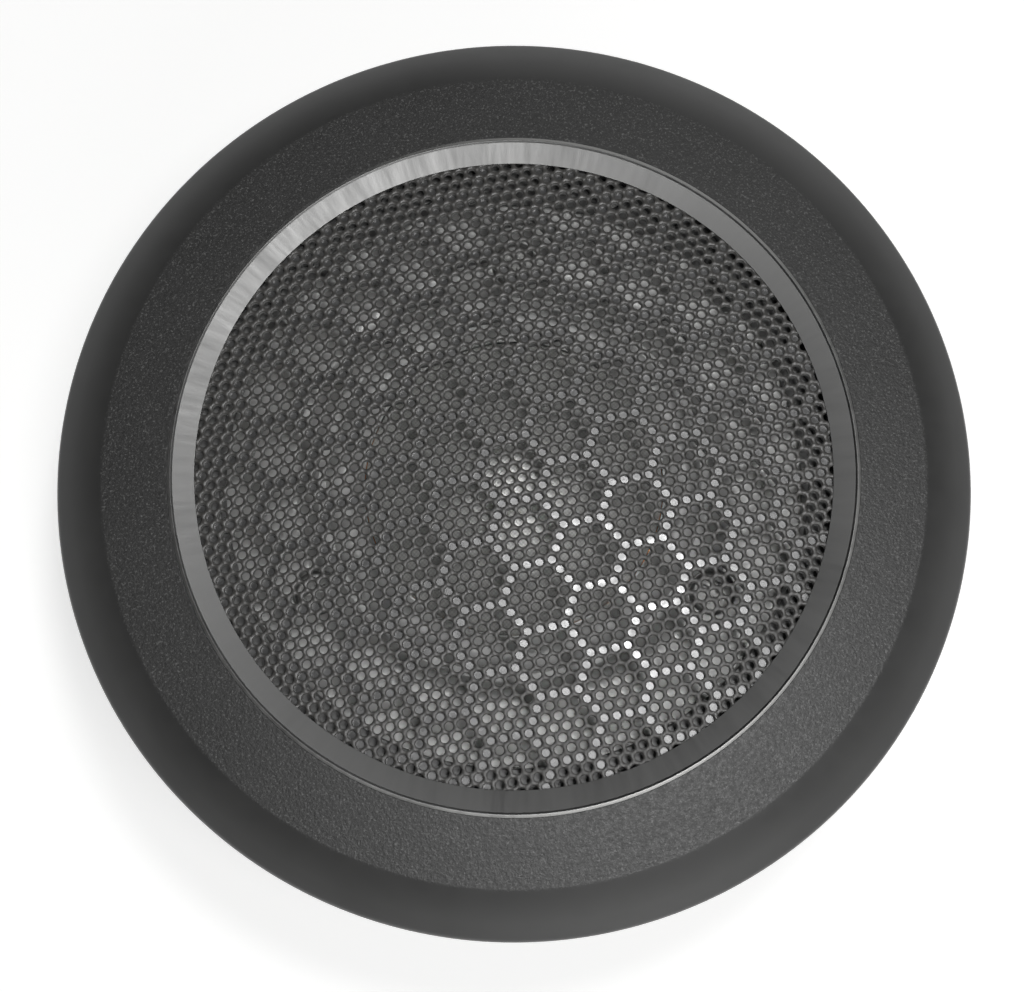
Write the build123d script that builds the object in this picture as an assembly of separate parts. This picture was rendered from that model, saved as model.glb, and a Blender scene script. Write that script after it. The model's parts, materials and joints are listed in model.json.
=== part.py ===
from build123d import *
import math
import os

# Round flush-mounted car tweeter, in millimetres.
# +Z points out of the grille at the listener. Z = 0 is the back of the flange, which seats on the panel,
# and the origin is the centre of the spigot that goes through the panel's cut-out.

# ---- driving dimensions: the face ------------------------------------------------------------------
FACE_R = 37.05  # largest radius, of the rounded rim
EDGE_Z = 1.3  # height of that largest radius above the panel
CREASE_R, CREASE_Z = 33.0, 3.55  # where the textured annulus meets the smooth rim
RIDGE_R, RIDGE_Z = 27.5, 4.15  # sharp ridge between the trim ring and the annulus
FIELD_R = 25.5  # visible radius of the grille
GRILLE_Z = 3.6  # front face of the grille
RIM_START_SLOPE, RIM_END_SLOPE = 14.0, 34.0  # degrees below level, at both ends of the rim's long arc
FLANGE_CHAMFER = 0.5

# ---- driving dimensions: the grille ----------------------------------------------------------------
PITCH = 1.0  # between neighbouring holes, on a triangular lattice
HOLE_R = 0.35
LATTICE_TURN = 11.4  # degrees from +X to a row of holes
LATTICE_CENTRE = (0.02, -0.15)  # the punched field sits a little off the axis
CELL = 3  # side of a honeycomb cell behind the holes, in pitches
GRILLE_T = 0.5
GRILLE_R = 26.9
RIB_WIDTH = 0.8
RIB_DEPTH = 1.2
RIB_FRAME_R = 25.9  # inner radius of the solid ring round the honeycomb
SEAT_CLEAR = 0.05  # between the grille's edge and the ring that holds it
HOLE_MARGIN = 0.3  # solid metal outside the last holes
LEDGE_Z = GRILLE_Z - GRILLE_T - RIB_DEPTH  # what the honeycomb rests on

# ---- driving dimensions: the housing ---------------------------------------------------------------
SPIGOT_R, SPIGOT_LENGTH = 29.0, 3.0  # goes through the panel
BARREL_R, BARREL_BORE_R, BARREL_Z = 28.6, 27.0, -10.0
RING_SEAT_R = 27.6  # outer radius of the trim ring's skirt
SHELF_R, SHELF_Z = 23.8, -1.6  # inner radius and underside of the shelf that carries grille and driver
HOUSING_BORE_R = 26.2
LIP_R, LIP_Z = 26.95, -6.9  # the rear housing's lip, inside the barrel
COVER_GASKET_Z = -28.0
COVER_Z = -28.4
REAR_Z = -30.0

# ---- driving dimensions: the driver ----------------------------------------------------------------
DRIVER_Z = -1.9  # front of the faceplate's rim
COIL_R = 12.6  # outside of the voice-coil former, for a 25 mm dome
DOME_HEIGHT = 4.0
DOME_T = 0.25
FILM_T = 0.25  # surround
STROKE_ROOM = 0.3  # clearance each side of the coil in the magnetic gap
MOTOR_R = 20.4
POLE_R = 12.0
VENT_R = 3.0

UNDER_PLATE_Z = DRIVER_Z - 2.85  # underside of the faceplate
FILM_Z = UNDER_PLATE_Z - FILM_T  # underside of the surround's flange, and base of the dome
TOP_PLATE_Z = DRIVER_Z - 4.8
MAGNET_Z = TOP_PLATE_Z - 3.0
YOKE_Z = MAGNET_Z - 5.0
YOKE_BACK_Z = YOKE_Z - 3.0

# ---- places round the axis -------------------------------------------------------------------------
THREE = 3
SCREW_ANGLE = 30.0  # first of three: driver screws and housing snaps
CLIP_ANGLE = 90.0  # first of three: retaining clips, faceplate screws and cover screws
FACEPLATE_SCREW_PITCH_R = 18.8
DRIVER_SCREW_PITCH_R = 24.8
COVER_SCREW_PITCH_R = 24.0


def in_section(point):
    """A (radius, height) point, in the XZ plane."""
    return Vector(point[0], 0, point[1])


def outline(start, *moves):
    """Closed face in the XZ plane. A move is a point, or a (through, end) pair of points for an arc."""
    edges = []
    here = start
    for move in moves + (start,):
        if isinstance(move[0], tuple):
            through, end = move
            edges.append(Edge.make_three_point_arc(in_section(here), in_section(through), in_section(end)))
        else:
            end = move
            edges.append(Edge.make_line(in_section(here), in_section(end)))
        here = end
    return Face(Wire(edges))


def turned(start, *moves):
    """Solid of revolution about Z, from an outline."""
    return revolve(outline(start, *moves), Axis.Z)


def ring(inner, outer, low, high):
    """Plain ring, or a disc where the inner radius is 0."""
    return turned((inner, low), (outer, low), (outer, high), (inner, high))


def block(x, y, z):
    """Box given by its low and high bounds along each axis."""
    size = [high - low for low, high in (x, y, z)]
    centre = [(high + low) / 2 for low, high in (x, y, z)]
    return Pos(*centre) * Box(*size)


def round_the_axis(shape, first_angle, count=THREE):
    """Copies of a shape made on the +X side, turned evenly about Z."""
    return [Rot(0, 0, first_angle + 360 / count * k) * shape for k in range(count)]


def cut(body, tools):
    """The body without the tools."""
    for tool in tools:
        body = body - tool
    return body


def group(shapes):
    """Separate solids that share one node."""
    return Compound(children=[shape.solid() for shape in shapes])


# ---- the face --------------------------------------------------------------------------------------
def rim_arcs():
    """Two tangent arcs from the crease to the vertical edge: (through, end) of the long and short one."""
    first, middle, last = (math.radians(a) for a in (RIM_START_SLOPE, RIM_END_SLOPE, 90))
    wide = math.sin(middle) - math.sin(first)
    deep = math.cos(first) - math.cos(middle)
    edge_wide = 1 - math.sin(middle)
    edge_deep = math.cos(middle)
    out, down = FACE_R - CREASE_R, CREASE_Z - EDGE_Z
    scale = wide * edge_deep - edge_wide * deep
    long_r = (out * edge_deep - edge_wide * down) / scale
    short_r = (wide * down - deep * out) / scale

    def step(start, radius, slope_from, slope_to):
        return (
            start[0] + radius * (math.sin(slope_to) - math.sin(slope_from)),
            start[1] - radius * (math.cos(slope_from) - math.cos(slope_to)),
        )

    crease = (CREASE_R, CREASE_Z)
    join = step(crease, long_r, first, middle)
    return (
        (step(crease, long_r, first, (first + middle) / 2), join),
        (step(join, short_r, middle, (middle + last) / 2), step(join, short_r, middle, last)),
    )


CORING = (30.4, 32.6, 1.9)  # inner radius, outer radius and depth of the hollows in the flange's back
CORING_RIBS, CORING_RIB_WIDTH, CORING_RIB_ANGLE = 12, 1.4, 15.0
GASKET = (33.6, 35.8, 0.8)  # the same for the foam gasket's groove
SNAP_WINDOW = (5.0, -9.0, -7.4)  # width, low and high
CLIP_POCKET = (7.4, 27.9, -9.9, 0.0)  # width, floor radius, low and high
PEG_R, PEG_Z, PEG_HEAD_R, PEG_HEAD_T = 1.0, -7.4, 1.6, 0.2
CLIP_T, CLIP_WIDTH = 0.25, 7.0
CLIP_PROUD = 0.2  # how far a spring's two edges stand out of the spigot, to press on the edge of the cut-out
PILOT_R, PILOT_DEPTH = 0.95, 2.9
LIP_CHAMFER_IN, LIP_CHAMFER_DOWN = 0.1, 0.08  # where the annulus meets the trim ring


def bezel():
    long_arc, short_arc = rim_arcs()
    lip_z = RIDGE_Z - 0.02
    body = turned(
        (SHELF_R, LEDGE_Z),
        (RING_SEAT_R, LEDGE_Z),
        (RING_SEAT_R, lip_z - LIP_CHAMFER_DOWN),
        (RING_SEAT_R + LIP_CHAMFER_IN, lip_z),
        (CREASE_R, CREASE_Z),
        long_arc,
        short_arc,
        (FACE_R, FLANGE_CHAMFER),
        (FACE_R - FLANGE_CHAMFER, 0),
        (SPIGOT_R, 0),
        (SPIGOT_R, -SPIGOT_LENGTH),
        (BARREL_R, -SPIGOT_LENGTH),
        (BARREL_R, BARREL_Z),
        (BARREL_BORE_R, BARREL_Z),
        (BARREL_BORE_R, SHELF_Z),
        (SHELF_R, SHELF_Z),
    )
    hollow = ring(CORING[0], CORING[1], 0, CORING[2])
    half = CORING_RIB_WIDTH / 2
    rib = block((CORING[0] - 1, CORING[1] + 1), (-half, half), (0, CORING[2]))
    body = body - cut(hollow, round_the_axis(rib, CORING_RIB_ANGLE, CORING_RIBS))
    body = body - ring(GASKET[0], GASKET[1], 0, GASKET[2])

    width, low, high = SNAP_WINDOW
    window = block((BARREL_BORE_R - 1, SPIGOT_R + 1), (-width / 2, width / 2), (low, high))
    body = cut(body, round_the_axis(window, SCREW_ANGLE))

    width, floor_r, low, high = CLIP_POCKET
    pocket = block((floor_r, SPIGOT_R + 1), (-width / 2, width / 2), (low, high))
    body = cut(body, round_the_axis(pocket, CLIP_ANGLE))
    peg = across_x(PEG_R, floor_r - 0.2, floor_r + CLIP_T + PEG_HEAD_T, PEG_Z)
    peg += across_x(PEG_HEAD_R, floor_r + CLIP_T, floor_r + CLIP_T + PEG_HEAD_T, PEG_Z)
    for placed in round_the_axis(peg, CLIP_ANGLE):
        body += placed

    pilot = Pos(DRIVER_SCREW_PITCH_R, 0, SHELF_Z + PILOT_DEPTH / 2) * Cylinder(PILOT_R, PILOT_DEPTH)
    return cut(body, round_the_axis(pilot, SCREW_ANGLE))


def across_x(radius, low, high, z):
    """Cylinder along X at a height, between two X values."""
    return Pos((low + high) / 2, 0, z) * (Rot(0, 90, 0) * Cylinder(radius, high - low))


TRIM_STEP = 0.08  # height of the facet's inner edge above the grille


def trim_ring():
    skirt_r = GRILLE_R + SEAT_CLEAR
    return turned(
        (FIELD_R, GRILLE_Z),
        (FIELD_R, GRILLE_Z + TRIM_STEP),
        (RIDGE_R - 0.25, RIDGE_Z + 0.01),
        ((RIDGE_R - 0.05, RIDGE_Z - 0.01), (RING_SEAT_R, RIDGE_Z - 0.16)),
        (RING_SEAT_R, LEDGE_Z),
        (skirt_r, LEDGE_Z),
        (skirt_r, GRILLE_Z),
    )


def lattice_directions():
    """The two unit rows of the hole lattice."""
    turns = (math.radians(LATTICE_TURN), math.radians(LATTICE_TURN - 60))
    return [(PITCH * math.cos(t), PITCH * math.sin(t)) for t in turns]


def lattice_points(limit, u_step=(1, 0), v_step=(0, 1)):
    """Points of the lattice inside a radius. The steps are in rows, so that cells can share it."""
    (ax, ay), (bx, by) = lattice_directions()
    reach = math.ceil(2 * limit / PITCH)
    points = []
    for i in range(-reach, reach + 1):
        for j in range(-reach, reach + 1):
            u = i * u_step[0] + j * v_step[0]
            v = i * u_step[1] + j * v_step[1]
            x = LATTICE_CENTRE[0] + u * ax + v * bx
            y = LATTICE_CENTRE[1] + u * ay + v * by
            if math.hypot(x, y) <= limit:
                points.append((x, y))
    return points


def grille():
    base = GRILLE_Z - GRILLE_T
    places = lattice_points(GRILLE_R - HOLE_R - HOLE_MARGIN)
    holes = [Wire([Edge.make_circle(HOLE_R, Plane((x, y, base)))]) for x, y in places]
    plate = Face(Wire([Edge.make_circle(GRILLE_R, Plane((0, 0, base)))]), holes)
    return Solid.extrude(plate, Vector(0, 0, GRILLE_T))


def grille_ribs():
    """Honeycomb whose ribs run under every hole that lies on the edge of a cell."""
    inner = CELL * PITCH * math.sqrt(3) / 2 - RIB_WIDTH / 2
    cell = RegularPolygon(inner, 6, major_radius=False, rotation=LATTICE_TURN)
    openings = Sketch()
    far = RIB_FRAME_R + CELL * PITCH
    places = lattice_points(far, (2 * CELL, -CELL), (CELL, CELL))
    openings += [Pos(x, y, 0) * cell for x, y in places]
    field = Circle(GRILLE_R) - (Circle(RIB_FRAME_R) & openings)
    return Pos(0, 0, LEDGE_Z) * extrude(field, RIB_DEPTH)


# ---- the driver ------------------------------------------------------------------------------------
FACEPLATE_R, FACEPLATE_BORE_R = 26.8, 16.6
SKIRT = (20.6, 22.4)  # inner and outer radius of the skirt round the motor
TAB_WIDTH, TAB_T, TAB_IN_R, TAB_OUT_R = 3.0, 0.4, 16.4, 24.0
TAB_Z = FILM_Z - TAB_T
FILM_SEAT_R = 17.4
HEAD_SEAT_Z = DRIVER_Z - 1.1
HEAD_SEAT_R = 1.95
SCREW_R, HOLE_CLEAR = 1.25, 0.1
DRIVER_SCREW_R = 1.1
THROUGH = 1.0  # how far a cutting tool runs past a surface
HORN_RIM_R, HORN_BOWL = 18.6, (17.2, 0.75)  # where the horn starts, and its radius and depth half way
HORN_THROAT_DEPTH = 2.2


def three_holes(radius, pitch_r, first_angle, low, high):
    hole = Pos(pitch_r, 0, (low + high) / 2) * Cylinder(radius, high - low)
    return round_the_axis(hole, first_angle)


def tab_slots(inner, outer, high):
    """Two slots for the solder tabs, on the X axis."""
    half = TAB_WIDTH / 2 + 0.1
    slot = block((inner, outer), (-half, half), (TAB_Z, high))
    return round_the_axis(slot, 0, 2)


def faceplate():
    front = turned(
        (FACEPLATE_BORE_R, UNDER_PLATE_Z),
        (SKIRT[0], UNDER_PLATE_Z),
        (SKIRT[0], MAGNET_Z),
        (SKIRT[1], MAGNET_Z),
        (SKIRT[1], UNDER_PLATE_Z),
        (FACEPLATE_R, UNDER_PLATE_Z),
        (FACEPLATE_R, DRIVER_Z),
        (HORN_RIM_R, DRIVER_Z),
        ((HORN_BOWL[0], DRIVER_Z - HORN_BOWL[1]), (FACEPLATE_BORE_R, DRIVER_Z - HORN_THROAT_DEPTH)),
    )
    low = UNDER_PLATE_Z - THROUGH
    seats = three_holes(HEAD_SEAT_R, FACEPLATE_SCREW_PITCH_R, CLIP_ANGLE, HEAD_SEAT_Z, DRIVER_Z)
    stems = three_holes(SCREW_R + HOLE_CLEAR, FACEPLATE_SCREW_PITCH_R, CLIP_ANGLE, low, DRIVER_Z)
    rim = three_holes(DRIVER_SCREW_R + HOLE_CLEAR, DRIVER_SCREW_PITCH_R, SCREW_ANGLE, low, DRIVER_Z)
    notches = tab_slots(SKIRT[0] - THROUGH, SKIRT[1] + THROUGH / 2, UNDER_PLATE_Z)
    return cut(front, seats + stems + rim + notches)


def driver_gasket():
    foam = ring(SHELF_R + 0.2, FACEPLATE_R - 0.1, DRIVER_Z, SHELF_Z)
    hole_r = DRIVER_SCREW_R + 2 * HOLE_CLEAR
    low, high = DRIVER_Z - THROUGH, SHELF_Z + THROUGH
    return cut(foam, three_holes(hole_r, DRIVER_SCREW_PITCH_R, SCREW_ANGLE, low, high))


def screw(stem_r, stem_low, seat, head_r, head_t, recess_r):
    """Screw along Z, with its head above the seat and a cross recess."""
    stem = Pos(0, 0, (stem_low + seat) / 2) * Cylinder(stem_r, seat - stem_low)
    tip = Pos(0, 0, stem_low - stem_r / 2) * Cone(stem_r * 0.4, stem_r, stem_r)
    head = Pos(0, 0, seat + head_t / 2) * Cylinder(head_r, head_t)
    head = fillet(head.edges().group_by(Axis.Z)[-1], head_t * 0.4)
    depth = head_t * 0.6
    cross = Pos(0, 0, seat + head_t - depth / 2) * (
        Box(2 * recess_r, recess_r / 2, depth) + Box(recess_r / 2, 2 * recess_r, depth)
    )
    return stem + tip + head - cross


def faceplate_screws():
    """Machine screws from the front, into the tapped top plate."""
    head_r, head_t, recess_r = 1.8, 1.0, 1.0
    low = MAGNET_Z + 1.9
    one = Pos(FACEPLATE_SCREW_PITCH_R, 0, 0) * screw(SCREW_R, low, HEAD_SEAT_Z, head_r, head_t, recess_r)
    return group(round_the_axis(one, CLIP_ANGLE))


def driver_screws():
    """Self-tapping screws from behind, through the faceplate's rim into the shelf."""
    head_r, head_t, recess_r = 1.9, 1.3, 1.0
    stem_r = PILOT_R - 0.05
    length = SHELF_Z + 1.6 - UNDER_PLATE_Z
    one = screw(stem_r, -length, 0, head_r, head_t, recess_r)
    placed = Pos(DRIVER_SCREW_PITCH_R, 0, UNDER_PLATE_Z) * (Rot(180, 0, 0) * one)
    return group(round_the_axis(placed, SCREW_ANGLE))


def dome():
    sphere_r = (COIL_R**2 + DOME_HEIGHT**2) / (2 * DOME_HEIGHT)
    centre_z = FILM_Z + DOME_HEIGHT - sphere_r

    def on_sphere(radius, share):
        """Point on a sphere at a share of the angle from the axis to the dome's base."""
        angle = share * math.acos((FILM_Z - centre_z) / radius)
        return (radius * math.sin(angle), centre_z + radius * math.cos(angle))

    inner_r = sphere_r - DOME_T
    return turned(
        on_sphere(inner_r, 0),
        (on_sphere(inner_r, 0.5), on_sphere(inner_r, 1)),
        on_sphere(sphere_r, 1),
        (on_sphere(sphere_r, 0.5), on_sphere(sphere_r, 0)),
    )


ROLL_R, ROLL_CENTRE = 1.3, 14.4  # inside of the surround's half roll


def surround():
    top = FILM_Z + FILM_T
    outer_r = ROLL_R + FILM_T
    outer_x = math.sqrt(outer_r**2 - FILM_T**2)
    return turned(
        (COIL_R + 0.1, FILM_Z),
        (ROLL_CENTRE - ROLL_R, FILM_Z),
        ((ROLL_CENTRE, FILM_Z + ROLL_R), (ROLL_CENTRE + ROLL_R, FILM_Z)),
        (FILM_SEAT_R - 0.1, FILM_Z),
        (FILM_SEAT_R - 0.1, top),
        (ROLL_CENTRE + outer_x, top),
        ((ROLL_CENTRE, FILM_Z + outer_r), (ROLL_CENTRE - outer_x, top)),
        (COIL_R + 0.1, top),
    )


FORMER_T, WINDING_T = 0.15, 0.35
COIL_HALF_HEIGHT = 1.3


def voice_coil_former():
    return ring(COIL_R - FORMER_T, COIL_R, MAGNET_Z - 0.5, FILM_Z)


def voice_coil():
    middle = (TOP_PLATE_Z + MAGNET_Z) / 2
    return ring(COIL_R, COIL_R + WINDING_T, middle - COIL_HALF_HEIGHT, middle + COIL_HALF_HEIGHT)


def coil_lead_outs():
    """Two fine flexible leads from the coil, under the surround's roll, to the solder tabs."""
    wire_r = 0.12
    gap = 0.02  # from the coil and from the tab
    start_r = COIL_R + 0.2
    coil_top = (TOP_PLATE_Z + MAGNET_Z) / 2 + COIL_HALF_HEIGHT
    over_plate_z = TOP_PLATE_Z + 0.5
    end_z = TAB_Z + TAB_T / 2
    route = [(start_r, coil_top + gap), (start_r, over_plate_z), (ROLL_CENTRE, over_plate_z)]
    route += [(ROLL_CENTRE + 0.8, end_z), (TAB_IN_R - gap, end_z)]
    path = FilletPolyline(*[in_section(p) for p in route], radius=0.3)
    wire = sweep(Plane(in_section(route[0]), z_dir=(0, 0, 1)) * Circle(wire_r), path)
    return group(round_the_axis(wire, 0, 2))


DIAPHRAGM_RING_R = 15.9  # inner radius


def diaphragm_ring():
    body = turned(
        (DIAPHRAGM_RING_R, TOP_PLATE_Z),
        (MOTOR_R, TOP_PLATE_Z),
        (MOTOR_R, UNDER_PLATE_Z),
        (FILM_SEAT_R, UNDER_PLATE_Z),
        (FILM_SEAT_R, FILM_Z),
        (DIAPHRAGM_RING_R, FILM_Z),
    )
    low = TOP_PLATE_Z - THROUGH
    stems = three_holes(SCREW_R + HOLE_CLEAR, FACEPLATE_SCREW_PITCH_R, CLIP_ANGLE, low, DRIVER_Z)
    return cut(body, stems + tab_slots(DIAPHRAGM_RING_R - THROUGH, MOTOR_R + THROUGH, DRIVER_Z))


def solder_tabs():
    """Two brass strips that carry the signal out of the driver, bent down beside the motor."""
    half, leg_length = TAB_WIDTH / 2, 3.1
    flat = block((TAB_IN_R, TAB_OUT_R), (-half, half), (TAB_Z, TAB_Z + TAB_T))
    leg = block((TAB_OUT_R - TAB_T, TAB_OUT_R), (-half, half), (TAB_Z - leg_length, TAB_Z))
    return group(round_the_axis(flat + leg, 0, 2))


def top_plate():
    plate = ring(COIL_R + WINDING_T + STROKE_ROOM, MOTOR_R, MAGNET_Z, TOP_PLATE_Z)
    thread_r, floor_t = SCREW_R + 0.02, 0.4
    low, high = MAGNET_Z + floor_t, TOP_PLATE_Z + THROUGH
    return cut(plate, three_holes(thread_r, FACEPLATE_SCREW_PITCH_R, CLIP_ANGLE, low, high))


MAGNET_BORE_R, MAGNET_CHAMFER = 14.3, 0.2


def magnet():
    body = ring(MAGNET_BORE_R, MOTOR_R - 0.3, YOKE_Z, MAGNET_Z)
    return chamfer(body.edges().filter_by(GeomType.CIRCLE), MAGNET_CHAMFER)


def yoke():
    bevel = 0.6
    return turned(
        (VENT_R, YOKE_BACK_Z),
        (MOTOR_R - bevel, YOKE_BACK_Z),
        (MOTOR_R, YOKE_BACK_Z + bevel),
        (MOTOR_R, YOKE_Z),
        (POLE_R, YOKE_Z),
        (POLE_R, TOP_PLATE_Z),
        (VENT_R, TOP_PLATE_Z),
    )


CAP_T = 0.15


def copper_cap():
    foot = MAGNET_Z - 0.5
    return turned(
        (POLE_R, foot),
        (POLE_R + CAP_T, foot),
        (POLE_R + CAP_T, TOP_PLATE_Z + CAP_T),
        (VENT_R, TOP_PLATE_Z + CAP_T),
        (VENT_R, TOP_PLATE_Z),
        (POLE_R, TOP_PLATE_Z),
    )


PAD_R, PAD_T = 10.4, 1.8
VENT_FELT_T = 4.0


def dome_damping_pad():
    base = TOP_PLATE_Z + CAP_T
    return ring(VENT_R + 0.4, PAD_R, base, base + PAD_T)


def vent_felt():
    return ring(0, VENT_R - 0.05, YOKE_BACK_Z, YOKE_BACK_Z + VENT_FELT_T)


# ---- the rear --------------------------------------------------------------------------------------
SOCKET_X, SOCKET_Y = 5.3, 3.3  # half sizes of the socket's opening
SOCKET_WALL = 1.5
SOCKET_FLOOR_Z, SOCKET_FLOOR_T = -22.0, 1.4
BOARD_Z = SOCKET_FLOOR_Z + SOCKET_FLOOR_T
BOARD_T = 1.6
BLADE_X, BLADE_T, BLADE_WIDTH = 3.0, 0.8, 2.8
CAPACITOR_X, CAPACITOR_R, CAPACITOR_LENGTH, CAPACITOR_Z = 12.6, 3.15, 11.0, -24.2
CAPACITOR_LEAD_Y, CAPACITOR_LEAD_R = 7.2, 0.3
LEAD_R = 0.55
BOSS_R, BOSS_TOP_Z = 2.6, -19.0
BOSS_PILOT_R, BOSS_PILOT_DEPTH = 0.9, 7.0
KEY_SLOT_HALF_WIDTH, KEY_SLOT_DEPTH, KEY_SLOT_LENGTH = 1.0, 0.8, 6.0
COVER_CHAMFER = 0.5
COUNTERSINK_R, COUNTERSINK_DEPTH, COVER_HOLE_R = 2.3, 1.2, 1.15


def rear_housing():
    tube = turned(
        (HOUSING_BORE_R, COVER_GASKET_Z),
        (BARREL_R, COVER_GASKET_Z),
        (BARREL_R, BARREL_Z),
        (LIP_R, BARREL_Z),
        (LIP_R, LIP_Z),
        (HOUSING_BORE_R, LIP_Z),
    )
    width, low, high = SNAP_WINDOW
    root_r, tip_r = LIP_R - 0.3, BARREL_R - 0.3
    foot_z = low + 0.1
    hook_face = outline((root_r, foot_z), (tip_r, foot_z), (tip_r, foot_z + 0.4), (root_r, high - 0.1))
    hook = extrude(hook_face, (width - 0.2) / 2, both=True)
    boss = Pos(COVER_SCREW_PITCH_R, 0, (COVER_GASKET_Z + BOSS_TOP_Z) / 2)
    boss *= Cylinder(BOSS_R, BOSS_TOP_Z - COVER_GASKET_Z)
    pilot = Pos(COVER_SCREW_PITCH_R, 0, COVER_GASKET_Z + BOSS_PILOT_DEPTH / 2)
    pilot *= Cylinder(BOSS_PILOT_R, BOSS_PILOT_DEPTH)
    for part in round_the_axis(hook, SCREW_ANGLE) + round_the_axis(boss, CLIP_ANGLE):
        tube += part
    return cut(tube, round_the_axis(pilot, CLIP_ANGLE))


def rear_gasket():
    return ring(HOUSING_BORE_R + 0.4, BARREL_R - 0.2, COVER_Z, COVER_GASKET_Z)


def rear_cover():
    plate = ring(0, BARREL_R, REAR_Z, COVER_Z)
    plate = chamfer(plate.edges().group_by(Axis.Z)[0], COVER_CHAMFER)
    x, y = SOCKET_X + SOCKET_WALL, SOCKET_Y + SOCKET_WALL
    well = fillet(block((-x, x), (-y, y), (COVER_Z, BOARD_Z)).edges().filter_by(Axis.Z), 0.8)
    socket = block((-SOCKET_X, SOCKET_X), (-SOCKET_Y, SOCKET_Y), (REAR_Z, SOCKET_FLOOR_Z))
    half, deep = KEY_SLOT_HALF_WIDTH, SOCKET_Y + KEY_SLOT_DEPTH
    key_slot = block((-half, half), (SOCKET_Y, deep), (REAR_Z, REAR_Z + KEY_SLOT_LENGTH))
    blades = [blade_slot(side) for side in (-1, 1)]
    sunk = Pos(COVER_SCREW_PITCH_R, 0, REAR_Z + COUNTERSINK_DEPTH / 2)
    sunk *= Cone(COUNTERSINK_R, COVER_HOLE_R, COUNTERSINK_DEPTH)
    stem = Pos(COVER_SCREW_PITCH_R, 0, (REAR_Z + COVER_Z) / 2) * Cylinder(COVER_HOLE_R, COVER_Z - REAR_Z)
    screws = round_the_axis(sunk, CLIP_ANGLE) + round_the_axis(stem, CLIP_ANGLE)
    return cut(plate + well, [socket, key_slot] + blades + screws)


def blade_slot(side):
    """Slot for a terminal blade, through the socket's floor and the board."""
    half_t, half_w = BLADE_T / 2 + 0.03, BLADE_WIDTH / 2 + 0.03
    x = side * BLADE_X
    low, high = SOCKET_FLOOR_Z - THROUGH, BOARD_Z + BOARD_T + THROUGH
    return block((x - half_t, x + half_t), (-half_w, half_w), (low, high))


def terminal(side):
    """Blade terminal with a bevelled tip."""
    half_w = BLADE_WIDTH / 2
    low, high = REAR_Z + 2.5, BOARD_Z + BOARD_T + 0.5
    x = side * BLADE_X
    blade = block((x - BLADE_T / 2, x + BLADE_T / 2), (-half_w, half_w), (low, high))
    return chamfer(blade.edges().group_by(Axis.Z)[0].filter_by(Axis.X), 0.6)


def cover_screws():
    """Countersunk screws, just below the back."""
    low = REAR_Z + 0.1
    head_r, head_t, stem_r, stem_length = 2.1, 1.1, BOSS_PILOT_R - 0.05, 6.2
    recess, recess_width, recess_depth = 2.2, 0.5, 0.7
    head = Pos(0, 0, low + head_t / 2) * Cone(head_r, 1.0, head_t)
    stem = Pos(0, 0, low + 0.5 + stem_length / 2) * Cylinder(stem_r, stem_length)
    cross = Box(recess, recess_width, recess_depth) + Box(recess_width, recess, recess_depth)
    cross = Pos(0, 0, low + recess_depth / 2) * cross
    one = Pos(COVER_SCREW_PITCH_R, 0, 0) * (head + stem - cross)
    return group(round_the_axis(one, CLIP_ANGLE))


def terminal_board():
    board = block((-8, 17), (-9, 9), (BOARD_Z, BOARD_Z + BOARD_T))
    board = fillet(board.edges().filter_by(Axis.Z), 1.0)
    hole = Cylinder(CAPACITOR_LEAD_R + 0.05, 2 * BOARD_T + THROUGH)
    leads = [Pos(CAPACITOR_X, side * CAPACITOR_LEAD_Y, BOARD_Z) * hole for side in (-1, 1)]
    return cut(board, [blade_slot(side) for side in (-1, 1)] + leads)


def capacitor():
    can = Rot(90, 0, 0) * Cylinder(CAPACITOR_R, CAPACITOR_LENGTH)
    can = fillet(can.edges().filter_by(GeomType.CIRCLE), 0.5)
    return Pos(CAPACITOR_X, 0, CAPACITOR_Z) * can


def capacitor_leads():
    """Wires from both ends of the capacitor, bent up into the board."""
    wires = []
    for side in (-1, 1):
        route = [
            (CAPACITOR_X, side * CAPACITOR_LENGTH / 2, CAPACITOR_Z),
            (CAPACITOR_X, side * CAPACITOR_LEAD_Y, CAPACITOR_Z),
            (CAPACITOR_X, side * CAPACITOR_LEAD_Y, BOARD_Z + BOARD_T + 0.3),
        ]
        path = FilletPolyline(*route, radius=0.8)
        wires.append(sweep(Plane(route[0], z_dir=(0, side, 0)) * Circle(CAPACITOR_LEAD_R), path))
    return group(wires)


def lead(side, end_x):
    """Insulated wire from a solder tab, down beside the magnet and in under the yoke to the board."""
    x = side * (TAB_OUT_R + LEAD_R)
    z = BOARD_Z + BOARD_T + LEAD_R
    route = [(x, 0, TAB_Z - 0.4), (x, 0, z), (end_x, 0, z)]
    path = FilletPolyline(*route, radius=2.2)
    return sweep(Plane(route[0], z_dir=(0, 0, -1)) * Circle(LEAD_R), path)


def retaining_clips():
    """Leaf springs folded up from a staked strip, bowed out to press on the edge of the cut-out."""
    floor_r, low = CLIP_POCKET[1], CLIP_POCKET[2] + 0.4
    crest = math.sqrt((SPIGOT_R + CLIP_PROUD) ** 2 - (CLIP_WIDTH / 2) ** 2)
    inner, outer = floor_r + CLIP_T / 2, crest - CLIP_T / 2
    waist, top_z = outer - 0.25, -0.6
    route = [(inner, PEG_Z + 2), (inner, low), (outer - 0.1, low)]
    route += [(waist, PEG_Z + 2), (outer, -2.6), (waist, top_z)]
    line = FilletPolyline(*route, radius=0.25)
    leaf = extrude(Plane.XZ * trace(line, CLIP_T), CLIP_WIDTH / 2, both=True)
    leaf -= across_x(PEG_R + 0.05, floor_r - THROUGH, floor_r + CLIP_T + 0.1, PEG_Z)
    return group(round_the_axis(leaf, CLIP_ANGLE))


def panel_gasket():
    return ring(GASKET[0] + 0.05, GASKET[1] - 0.05, 0, GASKET[2])


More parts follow.
